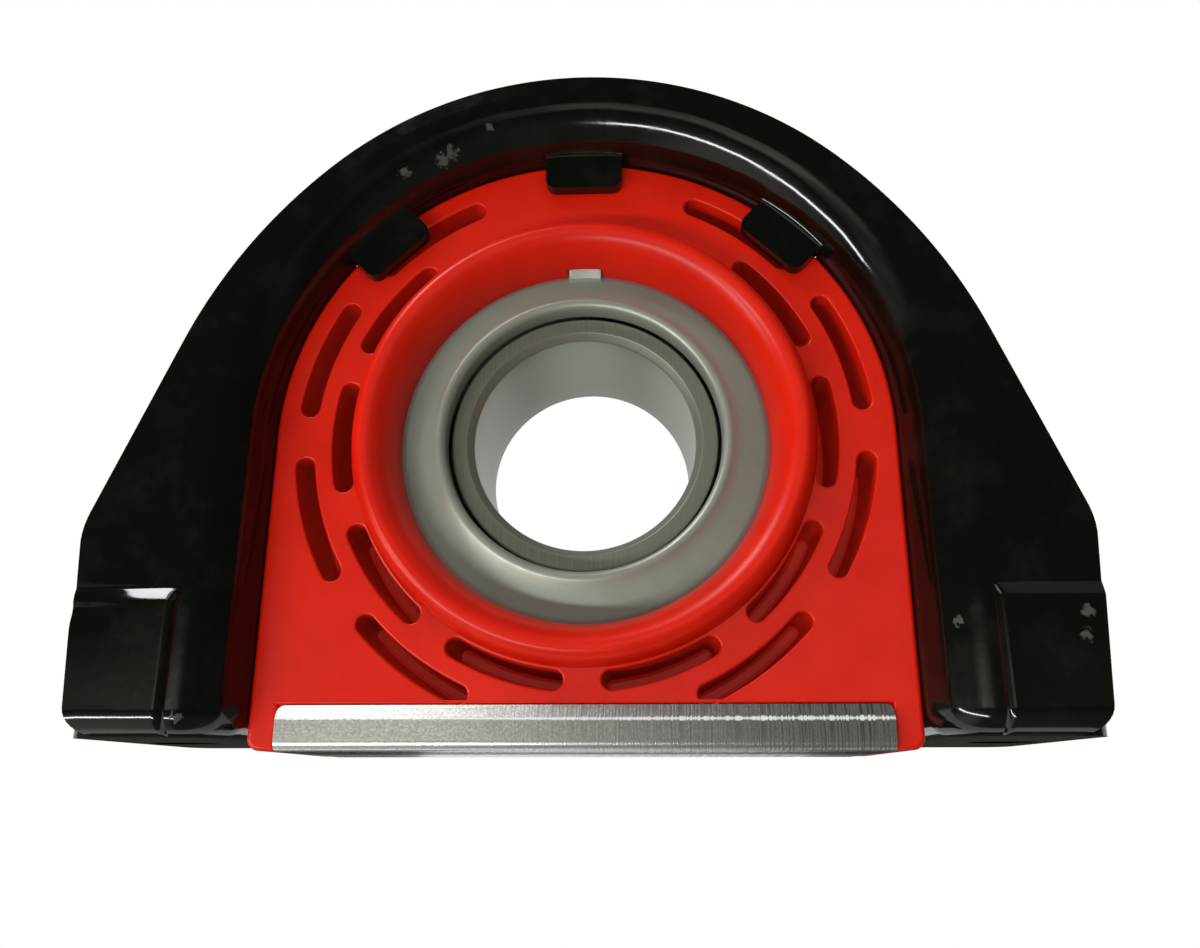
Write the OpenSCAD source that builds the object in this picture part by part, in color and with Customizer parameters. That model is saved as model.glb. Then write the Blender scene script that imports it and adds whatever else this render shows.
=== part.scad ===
// Driveshaft centre bearing: a ball bearing held by a moulded cushion in a stamped steel bracket.
// The bore axis runs along Y, the bracket stands on Z = 0 and the model is the same front and back.

/* [Bearing] */
// Bore of the inner ring, a press fit on the shaft
bore_d = 60; // [56:0.5:64]
// Length of the inner ring along the shaft
ring_len = 46; // [42:0.5:56]
// Wall of the inner ring's plain end sleeves
sleeve_wall = 6; // [4.5:0.1:7]
// Lead-in chamfer at each end of the bore
bore_chamfer = 1.8; // [0.5:0.1:3]
// Outside diameter of the outer ring
outer_d = 110; // [106:0.5:114]
// Width of the outer ring
outer_w = 22; // [20:0.5:26]
// Diameter of one ball
ball_d = 15.875; // [14.5:0.125:16.5]
// Number of balls
ball_count = 10; // [8:1:11]
// Height of the ring shoulders above the ball centres' circle
land_gap = 4.2; // [3.6:0.1:5]
// Thickness of the cage strip
cage_t = 0.8; // [0.5:0.1:1]
// Width of the cage strip, measured outwards from the axis
cage_w = 5.4; // [4:0.1:6]
// Radius of one cage rivet's shank
rivet_r = 0.9; // [0.6:0.1:1.2]

/* [Seals and shields] */
// Thickness of a seal's rubber backing
seal_back = 0.6; // [0.4:0.1:0.8]
// Thickness of a seal's steel insert
insert_t = 0.6; // [0.4:0.1:0.8]
// Depth of the seat that a seal is snapped into
seal_seat = 1.8; // [1.2:0.1:2.5]
// Width of the rubber lip at a seal's edges
seal_lip_w = 1.6; // [1:0.1:2.5]
// Sheet thickness of the shields
shield_t = 1.2; // [0.8:0.1:1.6]
// Outside radius of a shield's skirt
shield_r = 53.3; // [52:0.1:54]
// How far a shield's rolled bead stands in front of the inner ring's face
bead_proud = 5.7; // [3:0.1:8]
// Outer radius of the rolled bead
bead_r = 1.7; // [1.4:0.1:2.2]
// Slope of a shield's cone, measured from its flat
cone_angle = 33.5; // [25:0.5:38]
// Open gap between a shield's lip and the inner ring
lip_gap = 0.9; // [0.6:0.1:1.5]

/* [Cushion] */
// Height of the bore axis above the base
centre_h = 81; // [78:0.5:95]
// Outer radius of the cushion's arch, also half its width
cushion_r = 82.2; // [80:0.1:88]
// Depth of the cushion, face to face
cushion_d = 57; // [52:0.5:66]
// Radius of the mouth where the cushion laps over a shield
mouth_r = 49.8; // [47:0.1:51]
// Radius of the raised collar's rim
rim_r = 57; // [54:0.1:59]
// How far the collar's rim stands out of the cushion's face
rim_proud = 8; // [4:0.1:10]
// Width of a relief slot
slot_w = 5; // [3:0.1:5.5]
// Depth of a relief slot
slot_deep = 20; // [8:0.5:24]
// Radius of the inner row of slots
slot_row_in = 64.4; // [64:0.1:65]
// Radius of the outer row of slots
slot_row_out = 74.2; // [73:0.1:76]
// Angle that one slot spans between the centres of its round ends
slot_span = 23; // [15:0.5:26]
// Width of the notch at the top of the mouth
notch_w = 9; // [6:0.5:14]
// Height of the notch
notch_h = 2; // [1:0.1:2.5]
// Depth of the notch in front of the shield's shoulder
notch_deep = 7; // [4:0.5:12]

/* [Base strip] */
// Length of the channel strip
strip_len = 150; // [130:1:154]
// Sheet thickness of the strip
strip_t = 1.6; // [1:0.1:2]
// Height of the strip's lips
lip_h = 11; // [8:0.5:14]
// Height of the crease where a lip starts to lean in
crease_h = 7.5; // [5:0.1:7.5]
// How far a lip leans into the cushion
lip_lean = 1; // [0.3:0.1:1.5]
// Outer bend radius of the strip
strip_bend = 2.6; // [2.2:0.1:4]

/* [Bracket] */
// Sheet thickness of the bracket
sheet_t = 3.5; // [2.5:0.1:4]
// Depth over the arch's two flanges
bracket_d = 86; // [82:0.5:100]
// Height of the flanges above the barrel's inner face at the crown
flange_h = 18.4; // [16:0.1:26]
// Slope of the barrel's flared mouth
flare_angle = 25; // [15:1:32]
// Outer radius of the bend between barrel and flange
bend_r = 13; // [10:0.1:14]
// How far a foot's face stands out of the flange above it
foot_step = 1.8; // [0.5:0.1:3]
// Height of the step at the top of a foot
step_h = 36; // [30:0.5:44]
// Outer radius of the bends along the foot pads
foot_bend = 6; // [5:0.1:8]
// Height of the foot pads above the base, the squeeze left for bolting down
pad_rise = 3; // [1:0.1:5]
// Distance between the two bolt slots
bolt_spacing = 219.7; // [214:0.1:236]
// Width of a bolt slot
bolt_w = 14.3; // [11:0.1:16]
// Length of a bolt slot
bolt_len = 18; // [16.5:0.5:22]
// Sheet left between a bolt slot and the foot's end
foot_edge = 4; // [4:0.1:12]
// How far a foot's side draws in towards its toe
toe_in = 2.8; // [0:0.1:5]
// Width of a retaining tab
tab_w = 21.5; // [15:0.5:26]
// Length of a retaining tab over the cushion's face
tab_len = 10; // [7:0.5:12]
// Angle between neighbouring tabs
tab_angle = 44; // [30:0.5:48]

/* [Hidden] */
$fn = 96;
// Clearances: moving pieces, seated pieces, and the sheet tabs over the cushion
run_gap = 0.05;
seat_gap = 0.05;
cage_gap = 0.1;
tab_gap = 0.3;
// A cutter's reach past the face that it opens
past = 1;
// Reach of cutters that clear the whole part
far = 400;

// Bearing
bore_r = bore_d/2;
outer_r = outer_d/2;
ball_r = ball_d/2;
pitch_r = (bore_r + outer_r)/2;
groove_r = 0.52*ball_d;
inner_land = pitch_r - land_gap;
outer_land = pitch_r + land_gap;
sleeve_r = bore_r + sleeve_wall;
ring_half = ring_len/2;
outer_half = outer_w/2;
sleeve_step = outer_half + 1.4;
edge_chamfer = 0.8;
pocket_r = ball_r + cage_gap;
seal_in = pocket_r + cage_t + 0.3;
seal_out = seal_in + seal_back + insert_t + 0.4;
seal_r = outer_land + seal_seat;
rivet_head_r = 1.6*rivet_r;
rivet_head_h = 0.7*rivet_r;

// Shields: the cone is tangent to the rolled bead, the lip runs back beside the inner ring
lip_r = sleeve_r + lip_gap;
bead_y = ring_half + bead_proud;
bead_c = [lip_r + bead_r, bead_y - bead_r];
cone_n = [sin(cone_angle), cos(cone_angle)];
cone_p = bead_c + bead_r*cone_n;
lip_end = ring_half - 0.5;
skirt_end = outer_half + seat_gap;
key_t = 0.8;

// Cushion
cushion_half = cushion_d/2;
seat_r = outer_r + seat_gap;
collar_foot = slot_row_in - slot_w/2 - 0.3;
rim_y = cushion_half + rim_proud;
leg_z = 0.2;
leg_r = 3;
inner_slots = [0, 36, 144, 180, 216, 252, 288, 324];
outer_slots = [18, 54, 126, 162, 198, 234, 306, 342];

// Strip
strip_half = cushion_half + seat_gap + strip_t;
strip_corner = 2;

// Bracket
web_r = cushion_r + 2*seat_gap;
bracket_half = bracket_d/2;
foot_half = bracket_half + foot_step;
foot_x = bolt_spacing/2 + bolt_len/2 + foot_edge;
flange_r = web_r + flange_h;
flare_y = cushion_half + tab_gap + 1.2;
blend_r = 1.37*flange_r;
crown_angle = 48;
side_angle = 21;
side_r = 20;
foot_corner = 7;
pad_bend = 2*sheet_t;
tab_corner = 3;
tab_side = 0.75;
window_len = 15;

function ball_name(i) = str("ball_", i < 10 ? "0" : "", i);
// Points of an arc about c from angle a0 to a1
function arc(c, r, a0, a1, n = 8) = [for (i = [0 : n]) let (a = a0 + (a1 - a0)*i/n) c + r*[cos(a), sin(a)]];
// Points of an ellipse's arc about c with half-axes s
function oval(c, s, a0, a1, n = 8) =
    [for (i = [0 : n]) let (a = a0 + (a1 - a0)*i/n) [c[0] + s[0]*cos(a), c[1] + s[1]*sin(a)]];
// A half outline with the same points reflected in the second axis, in order round the shape
function both_x(half) = concat(half, [for (i = [len(half) - 1 : -1 : 0]) [-half[i][0], half[i][1]]]);
// A half profile with the same points reflected in the first axis, in order round the shape
function both_y(half) = concat(half, [for (i = [len(half) - 1 : -1 : 0]) [half[i][0], -half[i][1]]]);
// Height of a shield's cone at radius r
function cone_y(r) = cone_p[1] - (r - cone_p[0])*tan(cone_angle);

// Turns a profile of (radius, y) points about the bore axis
module turned() {
    translate([0, 0, centre_h]) rotate([-90, 0, 0]) rotate_extrude() children();
}

// Carries an outline in X and Z along Y
module along_y(length) {
    rotate([90, 0, 0]) linear_extrude(length, center = true) children();
}

// Carries an outline in Y and Z along X
module along_x(length) {
    rotate([90, 0, 90]) linear_extrude(length, center = true) children();
}

// Places a piece at an angle round the bore axis, measured from +X towards +Z
module round_bore(angle) {
    translate([0, 0, centre_h]) rotate([0, -angle, 0]) children();
}

// Draws a piece at the front and again, reflected, at the rear
module front_and_rear() {
    children();
    mirror([0, 1, 0]) children();
}

// Draws a piece on the right and again, reflected, on the left
module right_and_left() {
    children();
    mirror([1, 0, 0]) children();
}

// Sheet surface from the barrel through its flared mouth to the flange, offset outwards by s.
// The points are (height above the barrel, y), from the middle to the flange's face.
bend_y = bracket_half - bend_r;
flare_run = (bend_y - flare_y + bend_r*sin(flare_angle))/cos(flare_angle);
bend_c = [flare_run*sin(flare_angle) + bend_r*cos(flare_angle), bend_y];
function mouth(s) = concat(
    [[s, 0], [s, flare_y - s*tan(flare_angle/2)]],
    arc(bend_c, bend_r - s, 180 - flare_angle, 90, 10),
    [[bend_c[0], far]]);

// The space inside the arch, from the base up: turned over the top and straight at the sides
module tunnel(s) {
    wall = [for (p = mouth(s)) [web_r + p[0], p[1]]];
    turned() polygon(both_y(concat(wall, [[0, far]])));
    translate([0, 0, -past]) linear_extrude(centre_h + past) right_and_left()
        polygon(both_y(concat(wall, [[-past, far]])));
}

// Outline of the flanges: a round crown that eases into sloping sides over upright feet
module flange_outline() {
    crown = [0, centre_h];
    crown_n = [cos(crown_angle), sin(crown_angle)];
    blend_c = crown - (blend_r - flange_r)*crown_n;
    side_n = [cos(side_angle), sin(side_angle)];
    reach = blend_c*side_n + blend_r;
    hip = [foot_x - side_r, (reach - side_r - (foot_x - side_r)*side_n[0])/side_n[1]];
    toe = [foot_x - toe_in - foot_corner, pad_rise + foot_corner];
    polygon(both_x(concat(
        arc(toe, foot_corner, -90, 0, 6),
        arc(hip, side_r, 0, side_angle, 6),
        arc(blend_c, blend_r, side_angle, crown_angle, 10),
        arc(crown, flange_r, crown_angle, 90, 14))));
}

// Section across the bracket in Y and Z, offset inwards by s: pads, bends, stepped feet and flanges
module foot_section(s) {
    low = pad_rise + s;
    round_r = foot_bend - s;
    polygon(both_x(concat(
        [[0, low]],
        arc([foot_half - foot_bend, low + round_r], round_r, -90, 0),
        [[foot_half - s, step_h - foot_step], [bracket_half - s, step_h + foot_step], [bracket_half - s, far]])));
}

// Outline left between a corner at p and a round of radius r that fits into it
module corner_round(p, r) {
    difference() {
        translate(p) square(r);
        translate(p + [r, r]) circle(r);
    }
}

// One retaining tab, bent in from the barrel over the cushion's front face
module retaining_tab() {
    root = web_r + sheet_t/2;
    tip = web_r - tab_len;
    translate([0, -cushion_half - tab_gap - sheet_t/2, 0]) along_y(sheet_t)
        polygon(both_x(concat(
            [[0, tip]],
            arc([tab_w/2 - tab_corner, tip + tab_corner], tab_corner, -90, 0, 6),
            [[tab_w/2, root], [0, root]])));
}

// The window that a tab leaves in the barrel
module tab_window() {
    side = tab_w/2 + tab_side;
    low = sqrt(pow(web_r, 2) - pow(side, 2)) - past;
    translate([-side, -cushion_half - tab_gap, low])
        cube([2*side, window_len, web_r + sheet_t + past - low]);
}

// End of a foot's pad, with rounded corners between the flanges
module pad_end() {
    half = foot_half - foot_bend;
    in_x = foot_x - 2*foot_corner;
    translate([0, 0, pad_rise]) linear_extrude(sheet_t)
        polygon(both_y(concat(
            [[in_x, half]], arc([foot_x - foot_corner, half - foot_corner], foot_corner, 90, 0, 6))));
}

module bolt_slot() {
    run = (bolt_len - bolt_w)/2;
    translate([bolt_spacing/2, 0, pad_rise - past]) {
        for (x = [-run, run]) translate([x, 0, 0]) cylinder(h = sheet_t + 2*past, d = bolt_w);
        translate([-run, -bolt_w/2, 0]) cube([2*run, bolt_w, sheet_t + 2*past]);
    }
}

module bracket() {
    corner = [web_r, pad_rise];
    color("#141713") difference() {
        union() {
            difference() {
                intersection() {
                    along_y(far) flange_outline();
                    along_x(far) foot_section(0);
                }
                tunnel(0);
                right_and_left() along_y(far) corner_round(corner, pad_bend);
                difference() {
                    along_x(far) foot_section(sheet_t);
                    tunnel(sheet_t);
                    right_and_left() along_y(far)
                        corner_round(corner + sheet_t*[1, 1], pad_bend - sheet_t);
                }
            }
            front_and_rear() for (i = [-1 : 1]) round_bore(i*tab_angle) retaining_tab();
            right_and_left() pad_end();
        }
        front_and_rear() for (i = [-1 : 1]) round_bore(i*tab_angle) tab_window();
        right_and_left() bolt_slot();
    }
}

// Outline of the cushion: an arch on straight sides with rounded legs
module cushion_outline() {
    translate([0, centre_h]) intersection() {
        circle(cushion_r);
        translate([-cushion_r, 0]) square(2*cushion_r);
    }
    leg = [cushion_r - leg_r, leg_z + leg_r];
    polygon(both_x(concat(arc(leg, leg_r, -90, 0, 6), [[cushion_r, centre_h]])));
}

// One relief slot at the front, on a row of radius r, about its own angle
module relief_slot(r, angle) {
    mouth_y = -cushion_half - past;
    deep = slot_deep + past;
    round_bore(angle) translate([0, mouth_y, 0]) rotate([-90, 0, 0]) {
        rotate([0, 0, -slot_span/2]) rotate_extrude(angle = slot_span)
            translate([r - slot_w/2, 0]) square([slot_w, deep]);
        for (a = [-1, 1]) rotate([0, 0, a*slot_span/2]) translate([r, 0, 0]) cylinder(h = deep, d = slot_w);
    }
}

// Space in the cushion for the bearing and shields, opening into the collar's mouth
module cushion_cavity() {
    lap_y = cone_y(mouth_r) + seat_gap/cos(cone_angle);
    pocket = shield_r + seat_gap;
    turned() polygon(both_y(concat(
        [[seat_r, 0], [seat_r, skirt_end], [pocket, skirt_end]],
        [[pocket, cone_y(pocket) + seat_gap/cos(cone_angle)]],
        oval([rim_r, lap_y], [rim_r - mouth_r, rim_y - lap_y], 180, 90, 10),
        [[rim_r, rim_y + past], [0, rim_y + past]])));
}

// Raised collar round each mouth
module collar() {
    turned() polygon(both_y(concat(
        [[mouth_r, 0], [collar_foot, 0]],
        oval([rim_r, cushion_half], [collar_foot - rim_r, rim_proud], 0, 90, 10),
        [[mouth_r, rim_y]])));
}

// Tapered outline of the locating notch at the top of the front mouth, grown by g
module notch_outline(g) {
    top = mouth_r + notch_h + g;
    half = notch_w/2 + g;
    translate([0, centre_h])
        polygon(both_x([[half + notch_h/2, mouth_r - notch_h], [half, top], [0, top]]));
}

module cushion() {
    color("#d7240f") difference() {
        union() {
            along_y(cushion_d) cushion_outline();
            collar();
        }
        cushion_cavity();
        front_and_rear() {
            for (a = inner_slots) relief_slot(slot_row_in, a);
            for (a = outer_slots) relief_slot(slot_row_out, a);
            translate([0, -cone_y(shield_r) - notch_deep/2, 0]) along_y(notch_deep) notch_outline(seat_gap);
        }
        along_x(strip_len + 2*seat_gap) strip_space();
    }
}

// Section in Y and Z that the cushion leaves for the strip
module strip_space() {
    top = lip_h + seat_gap;
    floor = strip_t + seat_gap;
    polygon(both_x([
        [0, -past], [strip_half + past, -past], [strip_half + past, top],
        [cushion_half - lip_lean, top], [cushion_half - lip_lean, lip_h],
        [cushion_half, crease_h], [cushion_half, strip_bend],
        [cushion_half + strip_t - strip_bend, floor], [0, floor]]));
}

// Folded channel that carries the cushion's foot, with lips creased in against its faces
module base_strip() {
    bend_c = [strip_half - strip_bend, strip_bend];
    tip = strip_half - lip_lean;
    outer = concat([[0, 0]], arc(bend_c, strip_bend, -90, 0), [[strip_half, crease_h], [tip, lip_h]]);
    inner = concat(
        [[tip - strip_t, lip_h], [strip_half - strip_t, crease_h]],
        arc(bend_c, strip_bend - strip_t, 0, -90), [[0, strip_t]]);
    corner = [strip_len/2 - strip_corner, lip_h - strip_corner];
    color("#c8cac6") intersection() {
        along_x(strip_len) polygon(both_x(concat(outer, inner)));
        along_y(far) polygon(both_x(concat(
            [[strip_len/2, -past]], arc(corner, strip_corner, 0, 90, 6))));
    }
}

// Pressed shield at the rear side: skirt on the outer ring, cone, rolled bead and lip
module shield() {
    inner_y = cone_y(shield_r - shield_t) - shield_t/cos(cone_angle);
    turned() polygon(concat(
        [[shield_r, skirt_end], [shield_r, cone_y(shield_r)]],
        arc(bead_c, bead_r, 90 - cone_angle, 180),
        [[lip_r, lip_end], [lip_r + shield_t, lip_end]],
        arc(bead_c, bead_r - shield_t, 180, 90 - cone_angle),
        [[shield_r - shield_t, inner_y], [shield_r - shield_t, skirt_end]]));
}

// Locating key: a flat raised patch on the cone that fills the cushion's notch
module shield_key() {
    low = mouth_r - notch_h;
    high = mouth_r + notch_h;
    intersection() {
        along_y(far) notch_outline(-seat_gap);
        turned() polygon([
            [low, cone_y(low) - shield_t/2], [high, cone_y(high) - shield_t/2],
            [high, cone_y(high) + key_t], [low, cone_y(low) - shield_t/8]]);
    }
}

module rear_shield() {
    color("#a3a49c") {
        shield();
        shield_key();
    }
}

module front_shield() {
    mirror([0, 1, 0]) rear_shield();
}

module ball_groove(r) {
    turned() translate([r, 0]) circle(groove_r);
}

module outer_ring() {
    e = edge_chamfer;
    color("#b4b6b2") difference() {
        turned() polygon(both_y([
            [outer_land, 0], [outer_land, seal_in], [seal_r, seal_in], [seal_r, outer_half],
            [outer_r - e, outer_half], [outer_r, outer_half - e], [outer_r, 0]]));
        ball_groove(pitch_r + ball_r + run_gap - groove_r);
    }
}

module inner_ring() {
    c = bore_chamfer;
    e = edge_chamfer;
    color("#a9aaa4") difference() {
        turned() polygon(both_y([
            [inner_land, 0], [inner_land, outer_half], [sleeve_r, sleeve_step],
            [sleeve_r, ring_half - e], [sleeve_r - e, ring_half],
            [bore_r + c, ring_half], [bore_r, ring_half - c], [bore_r, 0]]));
        ball_groove(pitch_r - ball_r - run_gap + groove_r);
    }
}

// Moulded seal at the rear side, with its lip on the inner ring and an open seat for the insert
module rear_seal() {
    low = inner_land + run_gap;
    high = seal_r - seat_gap;
    back = seal_in + seal_back;
    color("#26262a") turned() polygon([
        [low, seal_in + seat_gap], [high, seal_in + seat_gap], [high, seal_out],
        [high - seal_lip_w, seal_out], [high - seal_lip_w, back],
        [low + seal_lip_w, back], [low + seal_lip_w, seal_out], [low, seal_out]]);
}

module front_seal() {
    mirror([0, 1, 0]) rear_seal();
}

module rear_seal_insert() {
    low = inner_land + run_gap + seal_lip_w + seat_gap;
    high = seal_r - 2*seat_gap - seal_lip_w;
    color("#9ea19e") turned() translate([low, seal_in + seal_back + seat_gap]) square([high - low, insert_t]);
}

module front_seal_insert() {
    mirror([0, 1, 0]) rear_seal_insert();
}

function ball_angle(i) = 90 + 360*(i - 1)/ball_count;

// Rear half of the riveted cage: a flat ring with a domed pocket over each ball
module cage_half() {
    in_r = pitch_r - cage_w/2;
    difference() {
        union() {
            turned() translate([in_r, seat_gap/2]) square([cage_w, cage_t]);
            intersection() {
                turned() translate([in_r, seat_gap/2]) square([cage_w, pocket_r + cage_t]);
                union() for (i = [1 : ball_count])
                    round_bore(ball_angle(i)) translate([pitch_r, 0, 0]) sphere(pocket_r + cage_t);
            }
        }
        for (i = [1 : ball_count]) {
            round_bore(ball_angle(i)) translate([pitch_r, 0, 0]) sphere(pocket_r);
            round_bore(ball_angle(i + 0.5)) translate([pitch_r, 0, 0]) rotate([-90, 0, 0])
                cylinder(h = far, r = rivet_r + seat_gap, center = true);
        }
    }
}

module cage_rear() {
    color("#b08d4a") cage_half();
}

module cage_front() {
    color("#b08d4a") mirror([0, 1, 0]) cage_half();
}

module cage_rivets() {
    seat = seat_gap/2 + cage_t;
    color("#8d7440") for (i = [1 : ball_count])
        round_bore(ball_angle(i + 0.5)) translate([pitch_r, 0, 0]) rotate([-90, 0, 0]) {
            cylinder(h = 2*seat, r = rivet_r, center = true);
            for (s = [-1, 1]) translate([0, 0, s*(seat + rivet_head_h/2)])
                cylinder(h = rivet_head_h, r = rivet_head_r, center = true);
        }
}

module ball(i) {
    color("#d0d2d0") round_bore(ball_angle(i)) translate([pitch_r, 0, 0]) sphere(ball_r);
}

bracket();
cushion();
base_strip();
front_shield();
rear_shield();
outer_ring();
inner_ring();
front_seal();
rear_seal();
front_seal_insert();
rear_seal_insert();
cage_front();
cage_rear();
cage_rivets();
for (i = [1 : ball_count]) ball(i);
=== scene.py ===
# %% [markdown]
# # Driveshaft centre bearing
# A long driveshaft is held up in the middle by this part. A sealed ball bearing sits in a moulded red
# cushion, and an arched steel bracket clamps the cushion under the chassis. The CAD model already holds
# every size and every moving body. This lesson makes the surfaces that the eye sees, rides them on those
# bodies and finishes them with procedural materials.

import math

import bmesh
import bpy
import numpy as np
from mathutils import Matrix, Vector
from mathutils.geometry import delaunay_2d_cdt


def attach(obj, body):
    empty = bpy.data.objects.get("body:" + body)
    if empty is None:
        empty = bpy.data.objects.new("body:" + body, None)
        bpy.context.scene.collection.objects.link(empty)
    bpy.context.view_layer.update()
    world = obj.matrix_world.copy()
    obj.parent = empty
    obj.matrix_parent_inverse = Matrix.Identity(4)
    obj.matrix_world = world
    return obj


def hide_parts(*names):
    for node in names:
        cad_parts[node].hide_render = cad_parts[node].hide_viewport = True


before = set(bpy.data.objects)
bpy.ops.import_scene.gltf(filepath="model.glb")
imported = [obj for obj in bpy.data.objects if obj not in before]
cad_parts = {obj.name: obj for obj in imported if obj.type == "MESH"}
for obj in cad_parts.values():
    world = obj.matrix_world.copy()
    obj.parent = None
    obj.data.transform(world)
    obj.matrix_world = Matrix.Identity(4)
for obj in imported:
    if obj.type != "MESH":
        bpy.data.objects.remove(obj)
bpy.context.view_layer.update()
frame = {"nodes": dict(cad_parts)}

# %% [markdown]
# ## Camera
# The photograph was taken from close by with a wide lens, a little below the base of the part. The place
# and the lens below were fitted to the round edges of the bearing, which show as ellipses. A plain camera
# with no shift is enough, because the fitted axis passes through the middle of the picture.

# %% Set up the camera
MM = 0.001


def direction(azimuth, elevation):
    """Unit vector from the part towards a viewer: azimuth 0 is the front, -Y, and elevation is above +XY."""
    a = math.radians(azimuth)
    e = math.radians(elevation)
    return Vector((math.sin(a)*math.cos(e), -math.cos(a)*math.cos(e), math.sin(e)))


scene = bpy.context.scene
camera = bpy.data.objects.new("camera", bpy.data.cameras.new("camera"))
scene.collection.objects.link(camera)
scene.camera = camera
camera.data.lens = 30
camera.data.sensor_width = 36
camera.data.clip_start = 0.01
camera.location = Vector((14.1, -277.5, -7.4))*MM
camera.rotation_mode = "QUATERNION"
camera.rotation_quaternion = (-direction(2.23, -17.2)).to_track_quat("-Z", "Y")
scene.view_settings.view_transform = "Standard"
print("camera stands", round(1000*camera.location.length), "mm from the origin")

# %% [markdown]
# ## Surfaces from arrays
# Every new piece is one or more grids of points, worked out as whole numpy arrays. A grid becomes quads,
# the patches of a piece are joined and their shared edges are merged. Two helpers do this for all the
# pieces: one numbers the quads and the other makes the object and puts it on its body. Two more give the
# points of an arc and a soft step.

# %% Helpers that turn arrays into pieces
def grid(points, wrap=False, outward=None):
    """Quads between the neighbours of a grid of points (rows, columns, xyz); wrap joins the last column to
    the first, and outward is a direction that the middle quad has to face."""
    rows, cols = points.shape[:2]
    row = np.arange(rows - 1)[:, None]*cols
    here = np.arange(cols if wrap else cols - 1)[None, :]
    after = (here + 1) % cols
    faces = np.stack([row + here, row + after, row + cols + after, row + cols + here], -1).reshape(-1, 4)
    flat = points.reshape(-1, 3)
    if outward is not None:
        middle = (rows - 1)//2*here.size + here.size//2
        a, b, c = flat[faces[middle, [0, 1, 3]]]
        if np.dot(np.cross(b - a, c - a), outward) < 0:
            faces = faces[:, ::-1]
    return flat, faces


def piece(name, patches, body, nodes=(), closed=True, sharp=40):
    """One object from patches of (points in mm, faces). Equal points are merged, a closed skin is turned
    outwards, edges over the sharp angle keep a crease, and the piece rides on its body."""
    starts = np.cumsum([0] + [len(points) for points, faces in patches])
    points = np.concatenate([points for points, faces in patches])*MM
    faces = [f for (p, quads), s in zip(patches, starts) for f in (quads + s).tolist()]
    mesh = bpy.data.meshes.new(name)
    mesh.from_pydata(points.tolist(), [], faces)
    work = bmesh.new()
    work.from_mesh(mesh)
    bmesh.ops.remove_doubles(work, verts=work.verts, dist=0.004*MM)
    if closed:
        bmesh.ops.recalc_face_normals(work, faces=work.faces)
    work.to_mesh(mesh)
    work.free()
    mesh.shade_smooth()
    mesh.set_sharp_from_angle(angle=math.radians(sharp))
    made = bpy.data.objects.new(name, mesh)
    scene.collection.objects.link(made)
    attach(made, body)
    if nodes:
        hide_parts(*nodes)
    print(name, len(mesh.vertices), "points,", len(mesh.polygons), "faces")
    return made


def arc(centre, radius, start, end, count):
    """Points of a circle's arc, angles in degrees from the first axis."""
    a = np.radians(np.linspace(start, end, count))
    return np.stack([centre[0] + radius*np.cos(a), centre[1] + radius*np.sin(a)], -1)


def smooth_step(x):
    """0 below 0, 1 above 1 and the cubic 3x^2 - 2x^3 between them."""
    x = np.clip(x, 0, 1)
    return x*x*(3 - 2*x)


# %% [markdown]
# ## The stamped bracket
# The bracket is one sheet of steel, 3.5 mm thick, pressed into an arch. Seen across, the sheet runs from
# the front flange round a wide bend, down a short flare to the barrel that holds the cushion, and out
# again at the rear. The feet stand a little proud of the flanges, and at the bottom the sheet folds in to
# two pads with bolt slots. The left foot has been knocked, which dents its step. A block with cuts would
# give hard corners, so the skin is a grid instead: the section across the sheet is carried along the arch,
# and a Solidify modifier gives the wall.

# %% Section across the sheet
# Sizes of the stamping in mm, and the slope of its flare in degrees
CENTRE_H = 81.0
WEB_R = 82.3
SHEET_T = 3.5
BRACKET_HALF = 43.0
FOOT_STEP = 1.8
STEP_H = 36.0
BEND_R = 13.0
FLARE = 25.0
FLARE_Y = 30.0
FLANGE_R = 100.7
FOOT_X = 122.85
PAD_RISE = 3.0


def sheet_section():
    """Half of the section as (height over the barrel, y): the barrel, a soft crease, the flare at 25
    degrees and the bend of radius 13 mm that ends level with the flange."""
    slope = math.radians(FLARE)
    bend_y = BRACKET_HALF - BEND_R
    run = (bend_y - FLARE_Y + BEND_R*math.sin(slope))/math.cos(slope)
    bend_c = (run*math.sin(slope) + BEND_R*math.cos(slope), bend_y)
    crease_r = 9.0
    crease_y = FLARE_Y - crease_r*math.tan(slope/2)
    barrel = np.stack([np.zeros(7), np.r_[0, 4.6, 9.2, 13.8, 18.8, 22.8, 26]], -1)
    crease = arc((crease_r, crease_y), crease_r, 180, 180 - FLARE, 6)
    bend = arc(bend_c, BEND_R, 180 - FLARE, 90, 15)
    return np.concatenate([barrel, crease, bend])


half_section = sheet_section()
BEND_END = half_section[-1, 0]
print("flat flange starts", round(BEND_END, 2), "mm outside the barrel")


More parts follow.
